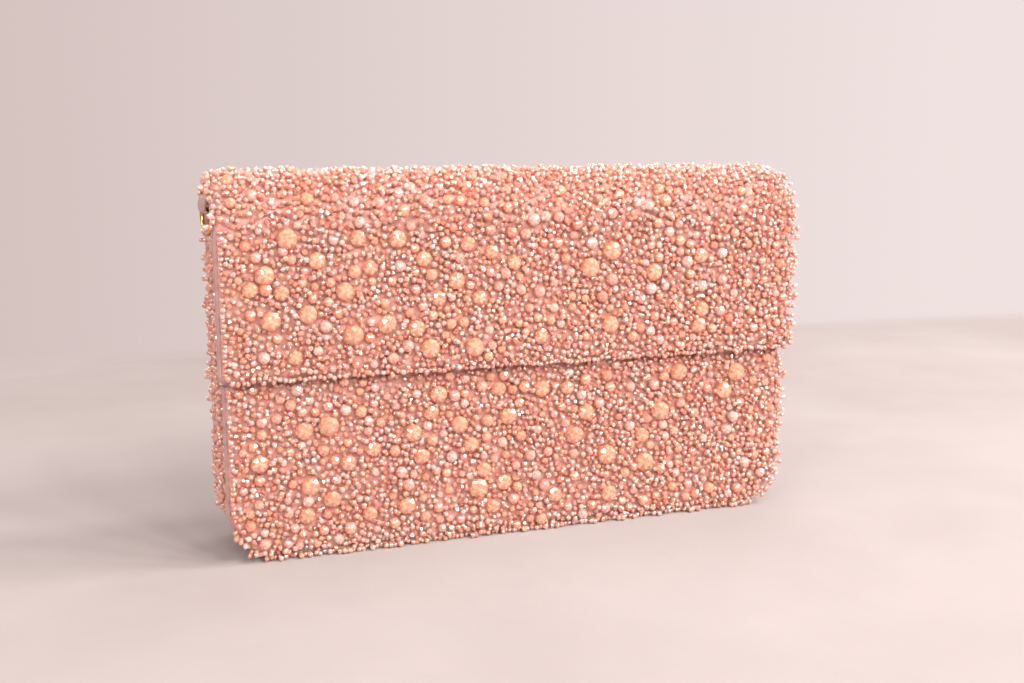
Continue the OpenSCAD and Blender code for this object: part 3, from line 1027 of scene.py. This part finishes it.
CRYSTAL_R = (3.2 * MM, 4.4 * MM)
MEDIUM_R = (1.8 * MM, 2.7 * MM)
SMALL_R = (1.2 * MM, 1.6 * MM)
SIDE_SMALL_R = (1.05 * MM, 1.2 * MM)
SEED_R = (0.98 * MM, 1.28 * MM)
CUT_KINDS = ["faceted", "faceted", "round"]
PITCH = 1.88 * MM
CUT_SHARE = 0.6
CLIMB_SHARE = 0.7
FILLS = 4
BEAD_MARGIN = 1.6 * MM
# Width of the bare satin strip down the left of the flap and front
STRIP = 1.5 * MM


def lay(carpet, box, allowed, ceiling, proud, bare_seed, crystals_at=None):
    """Fills an area: crystals first, then cut and round beads from large to small, seeds in what is left, and
    stoppers on top, up to proud above the ceiling. Without crystals_at there are only small beads."""
    (u0, u1), (v0, v1) = box
    area = (u1 - u0) * (v1 - v0) / MM**2

    def clusters(u, v):
        """There are more crystals on the left."""
        return (0.55 + 0.45 * ripple(u, v, bare_seed + 50, 1.3) - 0.3 * u / u1) * crystals_at(u, v)

    def bare(u, v):
        return ripple(u, v, bare_seed, 0.24) > 0.95

    if crystals_at:
        carpet.scatter(round(area / 130), box, allowed, CRYSTAL_R, ["crystal"], 1.6, clusters, 0.5)
        carpet.scatter(round(area / 34), box, allowed, MEDIUM_R, CUT_KINDS, 1.0, None, 0.72)
    small = SMALL_R if crystals_at else SIDE_SMALL_R
    carpet.scatter(round(area / 11), box, allowed, small, CUT_KINDS, 1.0)
    carpet.fill(box, allowed, ceiling, bare)
    if proud:
        carpet.top_up(round(area / 7), box, allowed, 2.7 * MM, lambda u, v: ceiling(u, v) + proud)


def on_whole_shell(x, s, r):
    edge = BEAD_MARGIN + r * 0.6
    left = STRIP if x < 0 and s < S_FOLD else 0
    return edge < s < S_END - edge and abs(x) < float(shell_half(s)) - edge - left


def shell_habit(x, s):
    """A strip of satin stays bare along the left of the flap's front, and a thin line along its lower edge."""
    if x < -FLAP_HALF + 4 * MM and s < S_FOLD:
        return STRIP, -5, 12, 0.15
    if s < EDGE_CORNER_R:
        return 0, -8, 22, 0.1
    if x < 0 and s > S_BACK:
        return 0.2 * MM, 0, 44, 0.3
    return 0, 4, 58, 0.55


def shell_ceiling(x, s):
    """The beads stand a little higher over the folds and the top."""
    return 4.5 * MM if S_FOLD < s < S_BACK else 3.9 * MM


def on_flat_shell(x, s):
    return s < S_FOLD - 2 * MM or s > S_BACK + 4 * MM


shell_carpet = Carpet(31)
shell_carpet.border(*flap_path, EDGE_R, shell_habit)
shell_carpet.border(*back_path, EDGE_R, shell_habit)
lay(
    shell_carpet, ((-FLAP_HALF, FLAP_HALF), (0, S_END)), on_whole_shell, shell_ceiling, 0.9 * MM, 21,
    crystals_at=on_flat_shell,
)
X_AXIS, Y_AXIS = (1.0, 0.0, 0.0), (0.0, 1.0, 0.0)
flap_beads = [b for b in shell_carpet.beads if b[1] < S_MIDDLE]
back_beads = [b for b in shell_carpet.beads if b[1] >= S_MIDDLE]
FLAP_NODES = ["flap_front_beadwork", "flap_top_beadwork"]
BACK_NODES = ["back_beadwork", "flap_top_beadwork"]
bead_pieces("flap_beads", flap_beads, on_shell, X_AXIS, 40, bent_at_front, FLAP_NODES)
bead_pieces("back_beads", back_beads, on_shell, X_AXIS, 60, bent_at_rear, BACK_NODES)


def on_front(x, z, r):
    edge = BEAD_MARGIN + r * 0.6
    left = STRIP if x < 0 else 0
    return edge < z < FRONT_BEAD_TOP - 0.4 * r and abs(x) < float(panel_half(z)) - edge - left


def front_habit(x, z):
    if x < -BODY_HALF + 4 * MM and z > CORNER_R * 0.6:
        return STRIP, -5, 12, 0.15
    return 0, 4, 58, 0.5


def front_ceiling(x, z):
    """Beads that reach under the flap's edge lie in one layer."""
    return 3.6 * MM if z < FLAP_EDGE - 4 * MM else 2.4 * MM


front_carpet = Carpet(32)
lower = front_path[0][:, 1] < FRONT_BEAD_TOP - SEED_R[1]
front_carpet.border(front_path[0][lower], front_path[1][lower], PANEL_R, front_habit)
lay(
    front_carpet, ((-BODY_HALF, BODY_HALF), (0, FRONT_BEAD_TOP)), on_front, front_ceiling, 1.0 * MM, 22,
    crystals_at=lambda x, z: z < FLAP_EDGE - 7 * MM,
)
bead_pieces("front_beads", front_carpet.beads, on_panel, X_AXIS, 80, on_body, ["front_beadwork"])


def on_side_strip(t, y, h):
    return around(t, y, h, SIDE_INSET)


SIDE_PROUD = 3.7 * MM
SIDE_RUN = SIDE_BEAD_TOP - CORNER_R


def on_sides(t, y, r):
    end, edge = r * 0.8, r * 0.9
    return end < t < around_length(SIDE_INSET) - end and SIDE_Y[0] + edge < y < SIDE_Y[1] - edge


def side_ceiling(t, y):
    """The sides' beads stand proud of the panels' edges, but not next to the rings or under the base."""
    along = min(t, around_length(SIDE_INSET) - t)
    return SIDE_PROUD if 6 * MM < along < SIDE_RUN + 4 * MM else SIDE_INSET


side_carpet = Carpet(33)
lay(side_carpet, ((0, around_length(SIDE_INSET)), SIDE_Y), on_sides, side_ceiling, 0, 23)
bead_pieces("side_beads", side_carpet.beads, on_side_strip, Y_AXIS, 90, on_body, ["side_beadwork"])


# ---- finishes of the CAD nodes that stay ----

NODE_FINISHES = {
    BOARD: ["front_board", "back_board", "side_board", "base_board", "flap_front_board"],
    STEEL: ["body_magnets", "flap_magnets"],
    GOLD: ["ring_left", "ring_right"],
}
for finish, names in NODE_FINISHES.items():
    for node_name in names:
        node_mesh = frame["nodes"][node_name].data
        node_mesh.materials.clear()
        node_mesh.materials.append(finish)


# ---- floor, light and camera ----


WALL_LINE = 0.42
WALL_TURN = math.radians(-5)
FLOOR_HALF = 30.0
CAMERA_AIM = Vector((0.7, 0, 76.8)) * MM
CAMERA_AZIMUTH = math.radians(-20.15)
CAMERA_ELEVATION = math.radians(9.7)
CAMERA_DISTANCE = 500 * MM
BACKWARDS = Vector(
    (
        math.sin(CAMERA_AZIMUTH) * math.cos(CAMERA_ELEVATION),
        -math.cos(CAMERA_AZIMUTH) * math.cos(CAMERA_ELEVATION),
        math.sin(CAMERA_ELEVATION),
    )
)
VIEWPOINT = CAMERA_AIM + BACKWARDS * CAMERA_DISTANCE


def share_between(tree, value, low, high, interpolation="LINEAR"):
    """How far a value is from low to high, from 0 to 1."""
    node = tree.nodes.new("ShaderNodeMapRange")
    node.interpolation_type = interpolation
    node.inputs["From Min"].default_value = low
    node.inputs["From Max"].default_value = high
    tree.links.new(value, node.inputs["Value"])
    return node.outputs["Result"]


def room_tone(tree, direction):
    """The room's tone in a direction from VIEWPOINT, darker on the left. The world lights the scene with it,
    and the floor's far part glows with it as a painted wall.
    """
    unit = tree.nodes.new("ShaderNodeVectorMath")
    unit.operation = "NORMALIZE"
    across = tree.nodes.new("ShaderNodeSeparateXYZ")
    tone = tree.nodes.new("ShaderNodeMix")
    tone.data_type = "RGBA"
    tone.inputs["A"].default_value = (0.56, 0.44, 0.415, 1)
    tone.inputs["B"].default_value = (0.87, 0.76, 0.74, 1)
    tree.links.new(direction, unit.inputs[0])
    tree.links.new(unit.outputs["Vector"], across.inputs["Vector"])
    tree.links.new(share_between(tree, across.outputs["X"], -0.4, 0.65), tone.inputs["Factor"])
    return tone.outputs["Result"]


def stage_material(name, low, high):
    """Pale floor, a little mottled. Beyond the line where a wall would stand, and in the distance all round,
    it turns black and glows with the room's tone by emission: a painted wall, no lamp, with painted shade on
    the left."""
    m = Shader(name, high, Roughness=0.9, Specular_IOR_Level=0.0)
    mottle = m.ramp(m.noise(5.0, 6.0, 0.6), [(0.3, low), (0.7, high)])
    grain = m.noise(260, 4.0, 0.6)
    split = m.tree.nodes.new("ShaderNodeSeparateXYZ")
    m.link(m.place, split.inputs["Vector"])
    line = share_between(m.tree, split.outputs["Y"], WALL_LINE, WALL_LINE + 0.06, "SMOOTHSTEP")
    reach = m.tree.nodes.new("ShaderNodeVectorMath")
    reach.operation = "LENGTH"
    m.link(m.place, reach.inputs[0])
    far_glow = share_between(m.tree, reach.outputs["Value"], 0.6, 1.6, "SMOOTHSTEP")
    beyond = m.tree.nodes.new("ShaderNodeMath")
    beyond.operation = "MAXIMUM"
    m.link(line, beyond.inputs[0])
    m.link(far_glow, beyond.inputs[1])
    mix = m.tree.nodes.new("ShaderNodeMix")
    mix.data_type = "RGBA"
    m.link(beyond.outputs["Value"], mix.inputs["Factor"])
    m.link(mottle, mix.inputs["A"])
    mix.inputs["B"].default_value = (0, 0, 0, 1)
    m.link(mix.outputs["Result"], "Base Color")
    # The far part glows with the room's tone: painted light of a wall, darker on the left as painted shade.
    away = m.tree.nodes.new("ShaderNodeVectorMath")
    away.operation = "SUBTRACT"
    m.link(m.tree.nodes.new("ShaderNodeNewGeometry").outputs["Position"], away.inputs[0])
    away.inputs[1].default_value = VIEWPOINT
    m.link(room_tone(m.tree, away.outputs["Vector"]), "Emission Color")
    m.link(beyond.outputs["Value"], "Emission Strength")
    m.bump([(grain, 0.3 * MM, 0.25)])
    return m.material


floor_corners = [(-FLOOR_HALF, -FLOOR_HALF, 0), (FLOOR_HALF, -FLOOR_HALF, 0), (FLOOR_HALF, FLOOR_HALF, 0)]
floor_corners.append((-FLOOR_HALF, FLOOR_HALF, 0))
floor = mesh_object(
    "floor", floor_corners, [(0, 1, 2, 3)],
    stage_material("pale_floor", (0.297, 0.262, 0.254), (0.346, 0.311, 0.303)),
)
floor.rotation_euler.z = WALL_TURN


def softbox(name, place, aim, size, watts, colour):
    light = bpy.data.lights.new(name, "AREA")
    light.shape = "RECTANGLE"
    light.size = light.size_y = size
    light.energy = watts
    light.color = colour
    lamp = bpy.data.objects.new(name, light)
    lamp.location = place
    lamp.rotation_euler = (Vector(aim) - Vector(place)).to_track_quat("-Z", "Y").to_euler()
    bpy.context.scene.collection.objects.link(lamp)


# Many small lamps, so that every bead finds one to glint in
MIDDLE = (0, 0, 0.07)
KEY = [(1.0, -0.75, 1.05), (0.75, -1.05, 0.9), (1.2, -0.45, 0.8), (0.4, -1.15, 1.15), (0.9, -0.2, 1.2)]
FILL = [(-0.5, -1.3, 0.75), (-0.95, -1.0, 1.0), (0.05, -1.4, 0.6)]
TOP = [(0.3, 0.4, 1.3), (-0.4, -0.3, 1.3)]
BACK = [(0.9, 0.95, 0.8), (-0.75, 1.1, 0.8), (0.15, 1.4, 0.6), (-1.2, 0.3, 0.6)]
for bank, places, watts in (("key", KEY, 9.4), ("fill", FILL, 7.4), ("top", TOP, 1.2), ("back", BACK, 2.8)):
    for k, spot in enumerate(places):
        softbox(f"{bank}_{k + 1}", spot, MIDDLE, 0.2, watts, (1.0, 0.97, 0.95))

world = bpy.data.worlds.new("studio")
world.use_nodes = True
ahead = world.node_tree.nodes.new("ShaderNodeTexCoord").outputs["Generated"]
backdrop = world.node_tree.nodes["Background"]
world.node_tree.links.new(room_tone(world.node_tree, ahead), backdrop.inputs["Color"])
bpy.context.scene.world = world
bpy.context.scene.view_settings.view_transform = "Standard"

lens = bpy.data.cameras.new("camera")
lens.sensor_width = 36
lens.lens = 42.2
lens.clip_start, lens.clip_end = 0.02, 100
camera = bpy.data.objects.new("camera", lens)
camera.location = VIEWPOINT
camera.rotation_euler = (-BACKWARDS).to_track_quat("-Z", "Y").to_euler()
bpy.context.scene.collection.objects.link(camera)
bpy.context.scene.camera = camera
